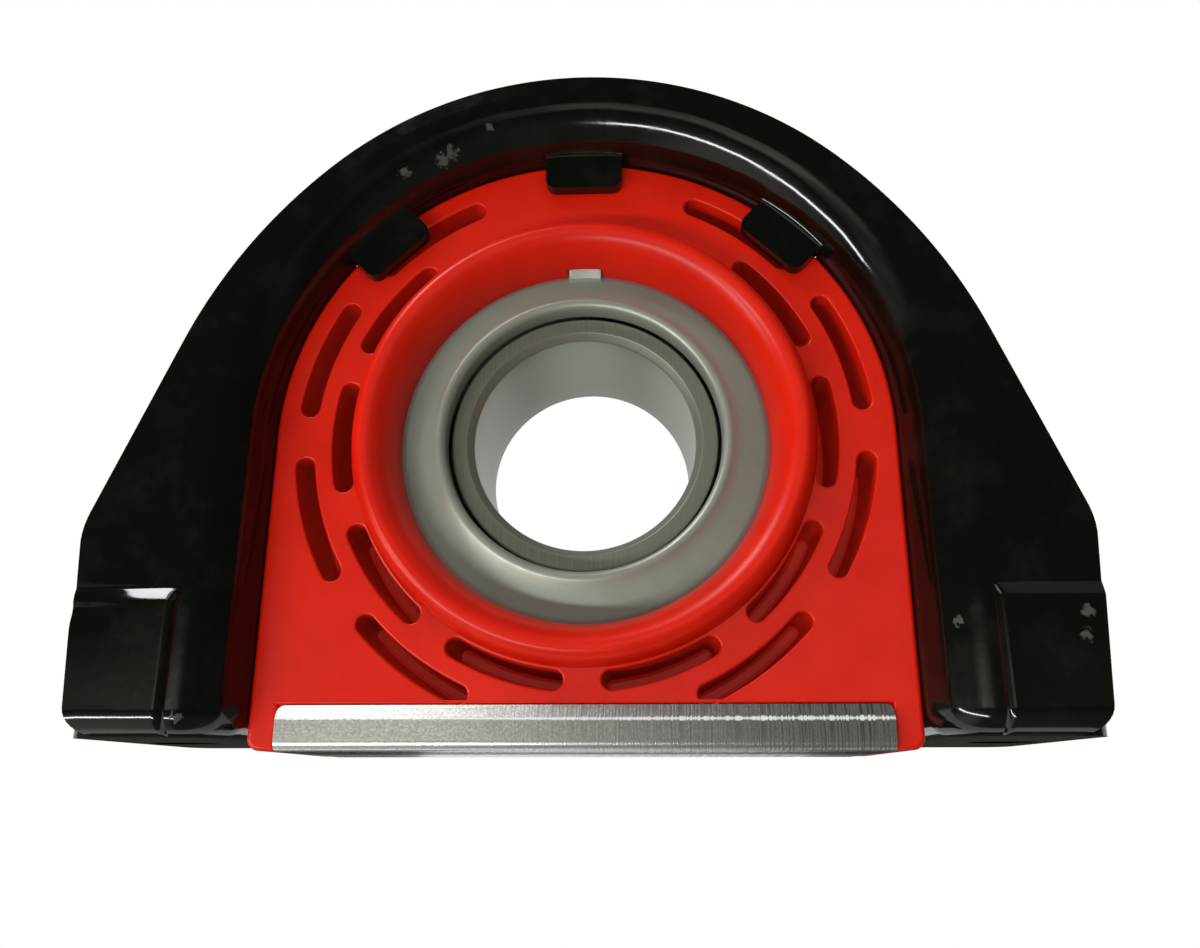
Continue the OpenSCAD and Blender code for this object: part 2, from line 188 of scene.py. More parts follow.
# %% Outline of the flanges
def flange_outline():
    """Right half of the outline as (x, z): a foot with a round toe, a side that leans out to a rounded hip,
    a straight slope, a blend of radius 138 and the crown of radius 100.7 about the bore. The corners are
    joined by straight lines and all is cut again into 900 equal steps."""
    crown, blend, side, hip_r, toe_r, toe_in = 48, 1.37*FLANGE_R, 21, 20.0, 7.0, 2.8
    n = np.array([math.cos(math.radians(crown)), math.sin(math.radians(crown))])
    blend_c = np.array([0, CENTRE_H]) - (blend - FLANGE_R)*n
    m = np.array([math.cos(math.radians(side)), math.sin(math.radians(side))])
    reach = blend_c @ m + blend
    hip = (FOOT_X - hip_r, (reach - hip_r - (FOOT_X - hip_r)*m[0])/m[1])
    toe = (FOOT_X - toe_in - toe_r, PAD_RISE + toe_r)
    corners = np.concatenate([
        arc(toe, toe_r, -90, 0, 40), arc(hip, hip_r, 0, side, 30),
        arc(blend_c, blend, side, crown, 60), arc((0, CENTRE_H), FLANGE_R, crown, 90, 60)])
    length = np.r_[0, np.cumsum(np.hypot(*np.diff(corners, axis=0).T))]
    even = np.linspace(0, length[-1], 900)
    return np.stack([np.interp(even, length, corners[:, 0]), np.interp(even, length, corners[:, 1])], -1)


outline = flange_outline()
turn = np.degrees(np.arctan2(outline[:, 1] - CENTRE_H, outline[:, 0]))
reach = np.hypot(outline[:, 0], outline[:, 1] - CENTRE_H)


def arch_edge(angle):
    """Distance of the flange's edge from the bore axis, at angles in degrees from either side to the top."""
    return np.interp(np.where(angle > 90, 180 - angle, angle), turn, reach)


def leg_edge(z):
    """Distance of the flange's edge from the middle plane, at a height below the bore axis."""
    return np.interp(z, outline[:, 1], outline[:, 0])


print("crown edge", round(arch_edge(90.0), 2), "mm, edge at axis height", round(leg_edge(CENTRE_H), 2), "mm")

# %% Skin of the arch
# Tabs and windows in degrees round the arch and in mm, then the steps out to the flange's edge
TAB_ANGLE = 44.0
TAB_W = 21.5
WINDOW_HALF = TAB_W/2 - 0.05
WINDOW = (13.8, 28.1)
FLANGE_STEPS = np.linspace(0, 1, 15)[1:]


def whole_section(edge):
    """Section from the front edge to the rear edge for each row: (rows, columns, height and y). The flat
    flange reaches out to the edge."""
    rows = len(edge)
    bent = np.broadcast_to(half_section, (rows, *half_section.shape))
    flat_h = BEND_END + FLANGE_STEPS[None, :]**1.5*(edge[:, None] - BEND_END)
    flat = np.stack([flat_h, np.full_like(flat_h, BRACKET_HALF)], -1)
    rear = np.concatenate([bent, flat], 1)
    front = rear[:, :0:-1]*np.array([1, -1])
    return np.concatenate([front, rear], 1)


def section_normals(section):
    """Unit normals of a section on its barrel and flange side, from the difference of neighbours."""
    along = np.gradient(section, axis=1)
    across = np.stack([-along[..., 1], along[..., 0]], -1)
    return across/np.linalg.norm(across, axis=-1, keepdims=True)


window_edge = math.degrees(math.asin(WINDOW_HALF/WEB_R))
tab_angles = 90 + TAB_ANGLE*np.array([-1, 0, 1])
edges = np.concatenate([tab_angles - window_edge, tab_angles + window_edge])
angles = np.unique(np.round(np.concatenate([np.linspace(0, 180, 151), edges]), 4))
arch = whole_section(arch_edge(angles) - WEB_R)
a = np.radians(angles)[:, None]
radius = WEB_R + arch[..., 0]
arch_skin = np.stack([radius*np.cos(a), arch[..., 1], CENTRE_H + radius*np.sin(a)], -1)
print("arch grid", arch_skin.shape[:2])

# %% Skin of the legs and feet
FOOT_R = 6.5
STEP_SIDE = 0.9


def leg_rows():
    """Heights down a leg, close together at the step over the foot, then the angle of the fold below."""
    low = np.linspace(27, PAD_RISE + FOOT_R, 8)
    straight = np.concatenate([np.linspace(CENTRE_H, 40, 22), np.linspace(39, 28, 34), low])
    fold = np.radians(np.linspace(0, 90, 10)[1:])
    under = PAD_RISE + FOOT_R*(1 - np.sin(fold))
    return np.r_[straight, under], np.r_[np.zeros(len(straight)), fold]


leg_z, fold = leg_rows()
leg = whole_section(leg_edge(leg_z) - WEB_R)
# The foot stands proud by FOOT_STEP (1 - (1 - t)^1.2), where t goes from 0 to 1 down the step
step_t = np.clip((STEP_H + FOOT_STEP - leg_z)/(2*FOOT_STEP), 0, 1)
raised = FOOT_STEP*(1 - (1 - step_t)**1.2)
ramp = smooth_step((leg[..., 0] - BEND_END)/STEP_SIDE)*np.sign(leg[..., 1])
leg = leg - section_normals(leg)*(FOOT_R*(1 - np.cos(fold)))[:, None, None]
leg_y = leg[..., 1] + raised[:, None]*ramp
leg_skin = np.stack([WEB_R + leg[..., 0], leg_y, np.broadcast_to(leg_z[:, None], leg_y.shape)], -1)
print("leg grid", leg_skin.shape[:2])

# %% Foot pads with their bolt slots
BOLT_SPAN = 219.7
BOLT_SLOT_W = 14.3
BOLT_SLOT_LEN = 18.0


def pad_skin(rim):
    """Flat pad inside the folded rim: straight lines run from the rim and the rounded free end to the edge
    of the bolt slot, at the same angle about the slot's middle."""
    half = abs(rim[0, 1])
    toe = 7.0
    start = arc((FOOT_X - toe, half - toe), toe, 90, 0, 7)
    end = arc((FOOT_X - toe, toe - half), toe, 0, -90, 7)
    side = np.stack([np.full(13, FOOT_X), np.linspace(half - toe, toe - half, 15)[1:-1]], -1)
    loop = np.concatenate([rim[:, :2], start, side, end])
    middle = np.array([BOLT_SPAN/2, 0])
    slot_r, run = BOLT_SLOT_W/2, (BOLT_SLOT_LEN - BOLT_SLOT_W)/2
    out = loop - middle
    out /= np.linalg.norm(out, axis=1, keepdims=True)
    shift = np.clip(out[:, :1]*slot_r*1.6, -run, run)
    inner = middle + np.concatenate([shift, np.zeros_like(shift)], 1) + out*slot_r
    t = np.linspace(0, 1, 7)[:, None, None]
    flat = loop*(1 - t) + inner*t
    return np.concatenate([flat, np.full((*flat.shape[:2], 1), PAD_RISE)], -1)


pad = pad_skin(leg_skin[-1])
MIRROR = np.array([-1, 1, 1])
print("pad grid", pad.shape[:2])

# %% Knocks on the front of the left foot
# Middle x and z, reach along x and z, and depth, in mm; a negative depth is a bulge
KNOCKS = [(-119.5, 33.0, 5.2, 3.2, 1.3), (-111.0, 38.6, 5.0, 2.2, -0.45)]


def knocked(skin):
    """Pushes dents into the front flange: a knock of depth d moves a point back by
    d exp(-((x - x0)/a)^2 - ((z - z0)/b)^2)."""
    x, y, z = np.moveaxis(skin, -1, 0)
    push = sum(d*np.exp(-((x - x0)/a)**2 - ((z - z0)/b)**2) for x0, z0, a, b, d in KNOCKS)
    return np.stack([x, y + push*(y < -BRACKET_HALF + 1), z], -1)


left_leg = knocked(leg_skin*MIRROR)
print(len(KNOCKS), "knocks, the deepest", np.abs(left_leg - leg_skin*MIRROR).max().round(2), "mm")

# %% Retaining tabs, bent in over the cushion
TAB_FACE = 28.8
TAB_REACH = 10.0


def tab_skin(angle):
    """Front of a tab: down the flare, round a bend of radius 2.5 and along the cushion's face, with the
    width drawn in by a radius of 3 at the tip. Rows go down the tab and columns across it. On the flare a
    row keeps the barrel's curve, sqrt(r^2 - w^2), and it flattens out round the bend."""
    slope = math.radians(FLARE)
    face_y = TAB_FACE + SHEET_T
    bend, tip, corner = 2.5, WEB_R - TAB_REACH, 3.0
    flare_r = WEB_R + (face_y - FLARE_Y)*math.tan(slope)
    touch = bend*math.tan((math.pi/2 - slope)/2)
    rise = np.array([6.0, 4.0])
    high = np.stack([flare_r + rise*math.sin(slope), face_y + rise*math.cos(slope)], -1)
    high[0] += np.array([0.5, 0.3])
    fold = arc((flare_r - touch, face_y + bend), bend, -FLARE, -90, 9)
    t = np.radians(np.linspace(0, 90, 8))
    flank = np.linspace(fold[-1, 0] - 0.6, tip + corner + 0.3, 4)
    down = np.r_[flank, tip + corner - corner*np.sin(t)]
    path = np.concatenate([high, fold, np.stack([down, np.full(len(down), face_y)], -1)])
    straight = np.full(len(path) - len(t), TAB_W/2)
    half = np.r_[straight, TAB_W/2 - corner*(1 - np.cos(t))]
    across = np.sin(np.radians(np.linspace(-90, 90, 17)))
    a = math.radians(angle)
    w = half[:, None]*across[None, :]
    flat = np.r_[0, 0, np.linspace(0, 1, len(fold)), np.ones(len(down))][:, None]
    r = path[:, :1]
    r = r*flat + np.sqrt(r**2 - w**2)*(1 - flat)
    x = r*math.cos(a) - w*math.sin(a)
    z = CENTRE_H + r*math.sin(a) + w*math.cos(a)
    return np.stack([x, np.broadcast_to(-path[:, 1:], x.shape), z], -1)


FRONT = np.array([0, -1, 0])
DOWN = np.array([0, 0, -1])
REAR_SIDE = np.array([1, -1, 1])
tabs = [tab_skin(angle) for angle in tab_angles]
print(len(tabs), "tabs a side, each a grid of", tabs[0].shape[:2])


# %% Cut the windows and join the sheet
def give_wall(made, thickness, rounding, segments):
    """Finishes a skin as sheet, sizes in mm: Solidify adds the wall behind it, Bevel rounds the cut edges."""
    wall = made.modifiers.new("wall", "SOLIDIFY")
    wall.thickness = thickness*MM
    wall.offset = -1
    wall.use_even_offset = True
    edge = made.modifiers.new("cut edge", "BEVEL")
    edge.width = rounding*MM
    edge.segments = segments
    edge.limit_method = "ANGLE"
    edge.angle_limit = math.radians(50)
    edge.harden_normals = True


points, faces = grid(arch_skin, outward=DOWN)
middle = points[faces].mean(1)
lift = np.abs(middle[:, 1])
at = np.degrees(np.arctan2(middle[:, 2] - CENTRE_H, middle[:, 0]))
near = np.abs(at[:, None] - tab_angles[None, :]).min(1)
open_face = (near < window_edge) & (lift > WINDOW[0]) & (lift < WINDOW[1])
patches = [(points, faces[~open_face])]
patches += [grid(leg_skin, outward=np.array([-1, 0, 0])), grid(left_leg, outward=np.array([1, 0, 0]))]
patches += [grid(pad, True, DOWN), grid(pad*MIRROR, True, DOWN)]
patches += [grid(tab, outward=FRONT) for tab in tabs]
patches += [grid(tab*REAR_SIDE, outward=-FRONT) for tab in tabs]
bracket = piece("bracket_sheet", patches, "housing", ["bracket"], closed=False, sharp=60)
give_wall(bracket, SHEET_T, 0.8, 3)

# %% [markdown]
# ## The moulded cushion
# The cushion is one block of red elastomer with two rows of blind relief slots on each face, which let it
# give, and a raised collar that laps over the bearing's shield. The collar is a profile turned about the
# bore. A slot is a short arc with round ends, and its wall is the same outline drawn in step by step. The
# flat face between them is filled with triangles.

# %% Collar and the seat for the bearing
# Sizes in mm: the moulding, the shield that its collar laps over, and that shield's cone and bead
CUSHION_R = 82.2
CUSHION_HALF = 28.5
MOUTH_R = 49.8
RIM_R = 57.0
RIM_Y = 36.5
COLLAR_FOOT = 61.2
SEAT_R = 55.05
SEAT_Y = 11.05
LAP_R = 53.35
LAP_GAP = 0.06
CONE_TILT = 33.5
CONE = math.radians(CONE_TILT)
SHIELD_R = 53.3
BEAD_R = 1.7
LIP_R = 36.9
BEAD_Y = 28.7


def cone_y(r):
    """Height of a shield's cone at radius r: a line tangent to the rolled bead."""
    top_r = LIP_R + BEAD_R + BEAD_R*math.sin(CONE)
    top_y = BEAD_Y - BEAD_R + BEAD_R*math.cos(CONE)
    return top_y - (r - top_r)*math.tan(CONE)


def turned(profile, angles):
    """Turns (radius, y) points about the bore axis at the given angles: rows follow the profile."""
    a = np.radians(angles)[None, :]
    r = profile[:, 0, None]
    y = np.broadcast_to(profile[:, 1, None], (len(profile), len(angles)))
    return np.stack([r*np.cos(a), y, CENTRE_H + r*np.sin(a)], -1)


def oval(centre, half, start, end, count):
    """Points of an ellipse's arc with two half-axes."""
    a = np.radians(np.linspace(start, end, count))
    return np.stack([centre[0] + half[0]*np.cos(a), centre[1] + half[1]*np.sin(a)], -1)


def collar_profile():
    """Rear half of the turned profile: the seat, the lap over the shield, the funnel, the rim and the outer
    flank of the collar down to the face."""
    lap = cone_y(MOUTH_R) + LAP_GAP
    seat = np.array([[SEAT_R, 0], [SEAT_R, SEAT_Y], [LAP_R, SEAT_Y], [LAP_R, cone_y(LAP_R) + LAP_GAP]])
    funnel = oval((RIM_R, lap), (RIM_R - MOUTH_R, RIM_Y - lap), 180, 90, 24)
    flank = oval((RIM_R, CUSHION_HALF), (COLLAR_FOOT - RIM_R, RIM_Y - CUSHION_HALF), 90, 0, 18)
    return np.concatenate([seat, funnel, flank[1:]])


NOTCH_HALF = 4.55
NOTCH_SIDE = 0.45
NOTCH_R = 51.85
NOTCH_Y = 25.0
# The columns are close together at the sides of the notch and of the shield's key
dense = np.degrees(np.r_[4.4, 4.55, 4.7, 4.85, 5.0, 5.2]/MOUTH_R)
around = np.unique(np.round(np.concatenate([np.arange(0, 360, 1.5), 90 - dense, 90 + dense]), 4))
collar = turned(collar_profile(), around)


def with_notch(surface):
    """Cuts the locating notch at the top of the mouth: where |x| is under 4.55 mm and the funnel is less
    than 25 mm from the middle plane, its points move out to a radius of 51.85 mm."""
    x = np.abs(surface[..., 0])
    r = np.hypot(surface[..., 0], surface[..., 2] - CENTRE_H)
    inside = smooth_step((NOTCH_HALF + NOTCH_SIDE - x)/NOTCH_SIDE)
    inside = inside*(surface[..., 2] > CENTRE_H)*(np.abs(surface[..., 1]) < NOTCH_Y)
    grown = 1 + inside*np.clip(NOTCH_R/r - 1, 0, None)
    return np.stack([surface[..., 0], surface[..., 1], CENTRE_H + (surface[..., 2] - CENTRE_H)*grown], -1)


collar = with_notch(collar)
print("collar grid", collar.shape[:2])

# %% Relief slots
SLOT_W = 5.0
SLOT_DEEP = 20.0
SLOT_SPAN = 23.0
SLOT_ROUND = 0.6
ROW_IN, ROW_OUT = 64.4, 74.2
inner_slots = np.r_[0, 36, 144, 180, 216, 252, 288, 324]
outer_slots = np.r_[18, 54, 126, 162, 198, 234, 306, 342]
slot_mid = np.concatenate([inner_slots, outer_slots])
slot_row = np.repeat([ROW_IN, ROW_OUT], [len(inner_slots), len(outer_slots)])


def slot_walls():
    """All slots at once: (slots, rows, outline, xyz). An outline point is a spine angle and a direction off
    the spine; a row is a distance off the spine and a depth, from the rounded mouth to the floor."""
    along = np.linspace(-0.5, 0.5, 25)*SLOT_SPAN
    cap = np.radians(np.linspace(0, 180, 13))[1:-1]
    spine = np.concatenate([along, np.full(11, SLOT_SPAN/2), along[::-1], np.full(11, -SLOT_SPAN/2)])
    tilt = np.concatenate([np.zeros(25), cap, np.full(25, math.pi), math.pi + cap])
    t = np.radians(np.linspace(0, 90, 5))
    half = SLOT_W/2
    off = np.r_[half + SLOT_ROUND*(1 - np.sin(t)), half - 0.1, half - 0.2, half - 0.8, half - 1.6, 0]
    deep = np.r_[SLOT_ROUND*(1 - np.cos(t)), 8, SLOT_DEEP - 1.2, SLOT_DEEP - 0.3, SLOT_DEEP, SLOT_DEEP]
    a = np.radians(slot_mid[:, None] + spine[None, :])
    off = off[None, :, None]
    a, r, tilt = a[:, None, :], slot_row[:, None, None], tilt[None, None, :]
    out = r + off*np.cos(tilt)
    side = off*np.sin(tilt)
    x = out*np.cos(a) - side*np.sin(a)
    z = CENTRE_H + out*np.sin(a) + side*np.cos(a)
    y = np.broadcast_to(-CUSHION_HALF + deep[None, :, None], x.shape)
    return np.stack([x, y, z], -1)


slots = slot_walls()
print(len(slots), "slots a face, each a grid of", slots.shape[1:3])

# %% Outline, edges and flat faces of the block
STRIP_HALF_LEN = 75.05
LIP_TOP = 11.05
STRIP_FLOOR = 1.65


def block_outline(notch_z, inset):
    """Closed outline in (x, z), drawn in by inset: an arch on straight sides, round-ended legs and the gap
    that the strip fills up to notch_z."""
    leg, lift = 3.0, 0.2
    arch = arc((0, CENTRE_H), CUSHION_R - inset, 0, 180, 121)
    foot = arc((leg - CUSHION_R, lift + leg), leg - inset, 180, 270, 9)
    inner = np.array([[-STRIP_HALF_LEN - inset, lift + inset], [-STRIP_HALF_LEN - inset, notch_z + inset]])
    side = np.stack([np.full(9, inset - CUSHION_R), np.linspace(CENTRE_H, lift + leg, 11)[1:-1]], -1)
    left = np.concatenate([side, foot, inner])
    right = left[::-1]*np.array([-1, 1])
    return np.concatenate([arch, left, right])


def block_skin():
    """Rows from the front face round its edge, back along the sides and out to the rear face."""
    t = np.radians(np.linspace(0, 90, 6))
    edge = 1.1
    front = [(LIP_TOP, edge*(1 - math.sin(v)), -CUSHION_HALF + edge*(1 - math.cos(v))) for v in t]
    core_y = edge - CUSHION_HALF
    core = [(LIP_TOP, 0, core_y), (STRIP_FLOOR, 0, core_y), (STRIP_FLOOR, 0, 0)]
    rows = front + core
    rows += [(notch, inset, -y) for notch, inset, y in rows[-2::-1]]
    loops = [np.insert(block_outline(notch, inset), 1, y, axis=1) for notch, inset, y in rows]
    return np.stack(loops)


def face_fill(outer, holes):
    """Triangles of a flat face in (x, z) between its outer loop and its holes; a Delaunay fill, from which
    those with their middle in a hole are left out."""
    loops = [outer, *holes]
    starts = np.cumsum([0] + [len(loop) for loop in loops])
    turns = [np.arange(len(loop)) for loop in loops]
    links = [np.stack([n, np.roll(n, -1)], -1) + start for n, start in zip(turns, starts)]
    flat = np.concatenate(loops)
    found = delaunay_2d_cdt([Vector(p) for p in flat], np.concatenate(links).tolist(), [], 1, 1e-5)
    spots = np.array([tuple(v) for v in found[0]])
    tris = np.array(found[2])
    mid = spots[tris].mean(1)
    r = np.hypot(mid[:, 0], mid[:, 1] - CENTRE_H)
    at = np.degrees(np.arctan2(mid[:, 1] - CENTRE_H, mid[:, 0]))
    swing = (at[:, None] - slot_mid + 180) % 360 - 180
    past = np.radians(swing - np.clip(swing, -SLOT_SPAN/2, SLOT_SPAN/2))
    gap = np.sqrt(r[:, None]**2 + slot_row**2 - 2*r[:, None]*slot_row*np.cos(past))
    keep = (r > COLLAR_FOOT*0.9995) & (gap.min(1) > SLOT_W/2 + 0.9*SLOT_ROUND)
    points = np.stack([spots[:, 0], np.full(len(spots), -CUSHION_HALF), spots[:, 1]], -1)
    return points, tris[keep]


block = block_skin()
flat_face = face_fill(block[0][:, [0, 2]], [collar[-1][:, [0, 2]], *slots[:, 0][..., [0, 2]]])
print("face fill", len(flat_face[1]), "triangles")

# %% Join the cushion
patches = [grid(block, True), flat_face, (flat_face[0]*REAR_SIDE, flat_face[1])]
patches += [grid(collar*REAR_SIDE, True), grid(collar, True)]
patches += [grid(slot, True) for slot in slots] + [grid(slot*REAR_SIDE, True) for slot in slots]
cushion = piece("cushion_moulding", patches, "housing", ["cushion"], sharp=35)
# The fill has long, thin triangles, so each flat face keeps its own normal and shades evenly
facing = np.empty((len(cushion.data.polygons), 3), np.float32)
cushion.data.polygons.foreach_get("normal", facing.ravel())
cushion.data.polygons.foreach_set("use_smooth", np.abs(facing[:, 1]) < 0.9999)

# %% [markdown]
# ## The channel strip
# A thin zinc-plated strip is folded round the foot of the cushion. Its lips lean in against the faces, so
# each lip has a crease, a flat band and a rounded fold. The band and the fold catch the light, and the line
# of light along the crease is a highlight painted in the zinc material. The section is carried along the
# strip, and the top of each lip drops at the ends to round the corners.

# %% Strip
STRIP_HALF = 30.15
STRIP_LEN = 150.0
STRIP_T = 1.6


def strip_skin():
    """Outer skin of the channel: across it, the lip's tip, the crease, the fold and the floor; along it, x
    from end to end. Near an end the tip drops by a quarter circle of radius 2."""
    fold_r, crease, tip, lean, corner = 2.6, 7.5, 11.0, 1.5, 2.0
    lip_t = np.linspace(1, 0, 6)
    lip = np.stack([STRIP_HALF - lean*lip_t, crease + (tip - crease)*lip_t], -1)
    wall = np.array([[STRIP_HALF, 6.9], [STRIP_HALF, 5.0], [STRIP_HALF, 3.2]])
    fold = arc((STRIP_HALF - fold_r, fold_r), fold_r, 0, -90, 10)
    half = np.concatenate([lip, wall, fold, [[12, 0], [0, 0]]])
    section = np.concatenate([half*np.array([-1, 1]), half[-2::-1]])
    end = STRIP_LEN/2 - corner*(1 - np.sin(np.radians(np.linspace(0, 90, 8))))
    x = np.concatenate([-end[::-1], np.linspace(-end[0], end[0], 41)[1:-1], end])
    near = np.clip(np.abs(x) - (STRIP_LEN/2 - corner), 0, corner)
    drop = corner - np.sqrt(corner**2 - near**2)
    share = np.clip((section[:, 1] - crease)/(tip - crease), 0, 1)
    cut = share[None, :]*drop[:, None]
    y = section[None, :, 0] + np.sign(section[None, :, 0])*cut*lean/(tip - crease)
    z = section[None, :, 1] - cut
    return np.stack([np.broadcast_to(x[:, None], y.shape), y, z], -1)


strip = piece("channel_strip", [grid(strip_skin(), outward=DOWN)], "housing", ["base_strip"],
              closed=False, sharp=14)
give_wall(strip, STRIP_T, 0.3, 2)

# %% [markdown]
# ## Shields and inner ring
# The shields are pressed from thin steel: a cone that ends in a rolled bead beside the ring. The inner ring
# is ground all over and passes right through. Both are turned profiles, with a fine step round the bead and
# the chamfers so that their highlights run smoothly.

# %% Shields
SHIELD_T = 1.2
KEY_HALF = 4.4
KEY_SIDE = 0.5
KEY_R = 48.3


def shield_profile():
    """Closed profile of a shield: outside down the cone and round the bead, back inside the lip, then the
    same way at 1.2 mm below."""
    t = SHIELD_T
    c = (LIP_R + BEAD_R, BEAD_Y - BEAD_R)
    down = np.linspace(SHIELD_R - 0.8, c[0] + 1.6, 14)
    corner = cone_y(SHIELD_R)
    knee = np.array([[SHIELD_R, SEAT_Y], [SHIELD_R, corner - 0.5], [SHIELD_R - 0.25, corner + 0.05]])
    cone = np.stack([down, cone_y(down)], -1)
    bead = arc(c, BEAD_R, 90 - CONE_TILT, 180, 16)
    lip = np.array([[LIP_R, 24.6], [LIP_R, 22.5], [LIP_R + t, 22.5]])
    inside = arc(c, BEAD_R - t, 180, 90 - CONE_TILT, 6)
    back = np.array([[SHIELD_R - t, cone_y(SHIELD_R - t) - t/math.cos(CONE)], [SHIELD_R - t, SEAT_Y]])
    return np.concatenate([knee, cone, bead, lip, inside, back, knee[:1]])


def with_key(surface):
    """Raises the locating key on the cone: within 4.4 mm of the middle plane, the cone's outside turns up
    from a radius of 48.3 mm, by 1.5 mm for each mm, to fill the cushion's notch."""
    x = np.abs(surface[..., 0])
    r = np.hypot(surface[..., 0], surface[..., 2] - CENTRE_H)
    patch = smooth_step((KEY_HALF + KEY_SIDE - x)/KEY_SIDE)*(surface[..., 2] > CENTRE_H)
    front = np.abs(surface[..., 1] - cone_y(r)) < 0.02
    lift = patch*front*1.5*np.clip(r - KEY_R, 0, 3.4)
    return surface + np.stack([0*lift, lift, 0*lift], -1)


rear = with_key(turned(shield_profile(), around))
front_shield = piece("front_shield_pressing", [grid(rear*REAR_SIDE, True)], "housing",
                     ["front_shield"])
rear_shield = piece("rear_shield_pressing", [grid(rear, True)], "housing", ["rear_shield"])

# %% Inner ring
BALL_D = 15.875
PITCH_R = 42.5
BALL_GAP = 0.05


def ring_profile():
    """Closed half profile mirrored front to rear: raceway groove, shoulder, sleeve, rounded edge, ground
    face, chamfer and bore."""
    bore, sleeve, land, half, chamfer = 30.0, 36.0, 38.3, 23.0, 1.8
    groove_r = 0.52*BALL_D
    groove_c = PITCH_R - BALL_D/2 - BALL_GAP + groove_r
    open_y = math.sqrt(groove_r**2 - (groove_c - land)**2)
    swing = math.degrees(math.atan2(open_y, land - groove_c))
    groove = arc((groove_c, 0), groove_r, 180, swing, 10)
    shoulder = np.array([[land, 11.0], [sleeve, 12.4], [sleeve, 18.0]])
    edge = arc((sleeve - 0.8, half - 0.8), 0.8, 0, 90, 6)
    soft = arc((bore + chamfer + 0.15, half - 0.35), 0.35, 90, 150, 5)
    face = np.array([[bore + chamfer + 0.5, half]])
    lead_y = half - chamfer
    lead = np.array([[bore + 0.25, lead_y + 0.1], [bore + 0.05, lead_y - 0.25], [bore, lead_y - 0.8]])
    wall = np.array([[bore, 12.0], [bore, 0]])
    half_path = np.concatenate([groove, shoulder, edge, face, soft, lead, wall])
    mirrored = half_path[::-1]*np.array([1, -1])
    return np.concatenate([half_path, mirrored[1:]])


steps = np.linspace(0, 360, 240, endpoint=False)
ring = turned(ring_profile(), steps)
inner_ring = piece("inner_ring_ground", [grid(ring, True)], "shaft_ring", ["inner_ring"])

# %% [markdown]
# ## Materials
# A finish in Blender is a small graph of nodes that ends in one Principled shader. Object coordinates feed
# the patterns, so they stay fixed to the part when it moves, and each pattern gets its scale from a size in
# millimetres. Five short helpers keep the graphs readable: a colour from its sRGB code, filling a node's
# inputs, a new node, an empty material and the step that puts a material on pieces.

# %% Material helpers
# Blender's names for the nodes that the finishes use most
NOISE = "ShaderNodeTexNoise"
RANGE = "ShaderNodeMapRange"
MATH = "ShaderNodeMath"
MIX = "ShaderNodeMix"
BUMP = "ShaderNodeBump"
VECTOR = "ShaderNodeVectorMath"
MAPPING = "ShaderNodeMapping"
SPLIT = "ShaderNodeSeparateXYZ"
COORDS = "ShaderNodeTexCoord"


def linear(code):
    """sRGB hex colour to linear RGBA."""
    c = np.array([int(code[i:i + 2], 16) for i in (1, 3, 5)])/255
    lin = np.where(c <= 0.04045, c/12.92, ((c + 0.055)/1.055)**2.4)
    return (*lin.tolist(), 1.0)


def fill(node, values):
    """Fills a node's inputs: another node's socket is linked, and any other value is set."""
    for key, value in values.items():
        if isinstance(value, bpy.types.NodeSocket):
            node.id_data.links.new(value, node.inputs[key])
        else:
            node.inputs[key].default_value = value


def add(tree, kind, values=None, **settings):
    """Adds a node: settings are its properties, and values fill its inputs."""
    made = tree.nodes.new(kind)
    for key, value in settings.items():
        setattr(made, key, value)
    fill(made, values or {})
    return made


def material(name):
    """A material with a Principled shader; returns it, its tree, the shader and its Object coordinates."""
    made = bpy.data.materials.new(name)
    made.use_nodes = True
    tree = made.node_tree
    tree.nodes.clear()
    shader = add(tree, "ShaderNodeBsdfPrincipled")
    add(tree, "ShaderNodeOutputMaterial", {"Surface": shader.outputs[0]})
    return made, tree, shader, add(tree, COORDS).outputs["Object"]


def finish_with(made, *objects):
    """Gives pieces or CAD nodes this material alone."""
    for o in objects:
        o.data.materials.clear()
        o.data.materials.append(made)
    print(made.name, "on", len(objects), "pieces")


# %% [markdown]
# ## Black enamel on the bracket
# The bracket is dipped in black alkyd enamel and baked. The wet film levels into a long, soft waviness, so a
# lamp shows as a wobbling white line instead of a straight one. Handling leaves a few chips down to grey
# primer and patches of dust where the gloss is dull. The waviness is a bump at two scales. Dust is a slow
# noise that raises the roughness, and each chip is a blot round a known point, made ragged by a fine noise.

# %% Gloss black dipped enamel: dust and chips
enamel, tree, shader, spot = material("gloss black dipped enamel")
dust = add(tree, NOISE, {"Vector": spot, "Scale": 1/(14*MM), "Detail": 5.0, "Roughness": 0.65})
dull = add(tree, RANGE, {"Value": dust.outputs[0], "From Min": 0.5, "From Max": 0.75}).outputs[0]
# Chips as x, y, z and size in mm: on the bend over the left tab, on the feet and at the rear
CHIPS = [
    (-36.6, -39.3, 160.5, 4.2), (-39.2, -38.8, 158.7, 4.4), (-49.2, -40, 154.4, 3.4),
    (-25.8, -41.3, 167.4, 2.4), (117.2, -44.8, 30.5, 3.4), (116.2, -44.8, 25, 3.0),
    (88.8, -40.4, 29, 2.6), (-94, -42, 7.4, 3.0), (60, 41, 150, 3.6)]
chipped = 0.0
for x, y, z, size in CHIPS:
    near = add(tree, VECTOR, {0: spot, 1: (x*MM, y*MM, z*MM)}, operation="DISTANCE").outputs["Value"]
    blot = add(tree, RANGE, {"Value": near, "From Max": size*MM, "To Min": 1.0, "To Max": 0.0})
    chipped = add(tree, MATH, {0: chipped, 1: blot.outputs[0]}, operation="MAXIMUM").outputs[0]
ragged = add(tree, NOISE, {"Vector": spot, "Scale": 1/(1.1*MM), "Detail": 4.0})
torn = add(tree, MATH, {0: ragged.outputs[0], 1: 1.6, 2: -1.0}, operation="MULTIPLY_ADD")
worn = add(tree, MATH, {0: chipped, 1: torn.outputs[0]}, operation="ADD")
